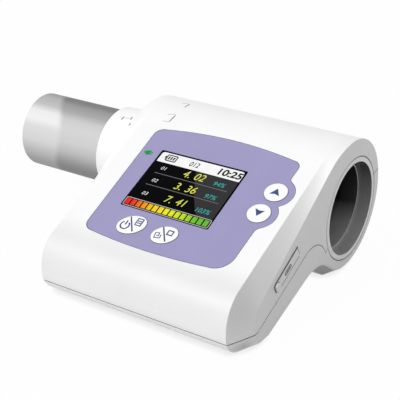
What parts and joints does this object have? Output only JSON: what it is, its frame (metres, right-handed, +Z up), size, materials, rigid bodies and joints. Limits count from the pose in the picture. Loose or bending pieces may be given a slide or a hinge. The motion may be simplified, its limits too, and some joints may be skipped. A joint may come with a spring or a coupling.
{
  "type": "spirometer",
  "caption": "Handheld electronic spirometer: wedge case with colour screen and keys, open airway tube, pull-out turbine with spinning vane, and a round mouthpiece.",
  "frame": {"origin": "on the table under the middle of the object's bounding box", "axes": "+X along the airway from the mouthpiece to the open outlet, +Y from the nose of the case to its tube, +Z up"},
  "size_m": [0.1412, 0.0982, 0.0487],
  "materials": {
    "case_white": "satin moulded plastic",
    "liner_grey": "smooth moulded plastic",
    "overlay_lilac": "printed matt film",
    "window": "clear lens over black print",
    "display": "display glass",
    "frame_white": "moulded plastic",
    "lamp_green": "clear tinted light pipe",
    "chip_black": "moulded package",
    "board_green": "solder mask",
    "battery_foil": "laminated foil",
    "socket_steel": "bright steel",
    "screw_steel": "zinc plated",
    "ribbon": "flexible circuit",
    "turbine_white": "satin moulded plastic",
    "seal_rubber": "soft seal",
    "vane_clear": "moulded plastic",
    "vane_dark": "thin opaque film",
    "jewel": "polished",
    "mouthpiece_grey": "satin",
    "key_white": "satin moulded plastic"
  },
  "bodies": {
    "case": {"upper_case": "case_white", "lower_case": "case_white", "bore_sleeve": "liner_grey", "front_overlay": "overlay_lilac", "screen_window": "window", "lcd_panel": "display", "lcd_frame": "frame_white", "charge_lamp": "lamp_green", "charge_led": "chip_black", "key_switches": "chip_black", "main_board": "board_green", "board_chips": "chip_black", "radio_module": "board_green", "temperature_sensor": "chip_black", "buzzer": "chip_black", "battery_cell": "battery_foil", "battery_plug": "frame_white", "usb_socket": "socket_steel", "usb_cover_pin": "socket_steel", "case_screws": "screw_steel", "board_screws": "screw_steel", "sensor_board": "board_green", "detector_board": "board_green", "infrared_emitters": "chip_black", "infrared_detectors": "chip_black", "sensor_ribbon": "ribbon"},
    "turbine": {"turbine_tube": "turbine_white", "turbine_seal": "seal_rubber", "inlet_stator": "vane_clear", "outlet_stator": "vane_clear", "rotor_bearings": "jewel"},
    "rotor": {"rotor_vane": "vane_dark", "rotor_axle": "socket_steel"},
    "mouthpiece": {"mouthpiece": "mouthpiece_grey"},
    "usb_cover": {"usb_cover": "case_white"},
    "key_up": {"key_up": "key_white"},
    "key_down": {"key_down": "key_white"},
    "key_power_menu": {"key_power_menu": "key_white"},
    "key_confirm_back": {"key_confirm_back": "key_white"}
  },
  "joints": [
    {"name": "turbine_slide", "type": "slide", "parent": "case", "child": "turbine", "axis": [-1, 0, 0], "range_m": [0, 0.08]},
    {"name": "rotor_spin", "type": "hinge", "parent": "turbine", "child": "rotor", "pos_m": [0.02877, 0.02687, 0.0229], "axis": [1, 0, 0], "continuous": true},
    {"name": "mouthpiece_slide", "type": "slide", "parent": "turbine", "child": "mouthpiece", "axis": [-1, 0, 0], "range_m": [0, 0.022]},
    {"name": "usb_cover_hinge", "type": "hinge", "parent": "case", "child": "usb_cover", "pos_m": [0.06922, -0.01276, 0.02344], "axis": [0, -0.4571, 0.8894], "range_deg": [0, 100]},
    {"name": "key_up_press", "type": "slide", "parent": "case", "child": "key_up", "axis": [0, 0.4015, -0.9159], "range_m": [0, 0.0004], "stiffness_N_per_m": 400, "springref_m": -0.0004},
    {"name": "key_down_press", "type": "slide", "parent": "case", "child": "key_down", "axis": [0, 0.4015, -0.9159], "range_m": [0, 0.0004], "stiffness_N_per_m": 400, "springref_m": -0.0004},
    {"name": "key_power_menu_press", "type": "slide", "parent": "case", "child": "key_power_menu", "axis": [0, 0.4015, -0.9159], "range_m": [0, 0.0004], "stiffness_N_per_m": 400, "springref_m": -0.0004},
    {"name": "key_confirm_back_press", "type": "slide", "parent": "case", "child": "key_confirm_back", "axis": [0, 0.4015, -0.9159], "range_m": [0, 0.0004], "stiffness_N_per_m": 400, "springref_m": -0.0004}
  ]
}
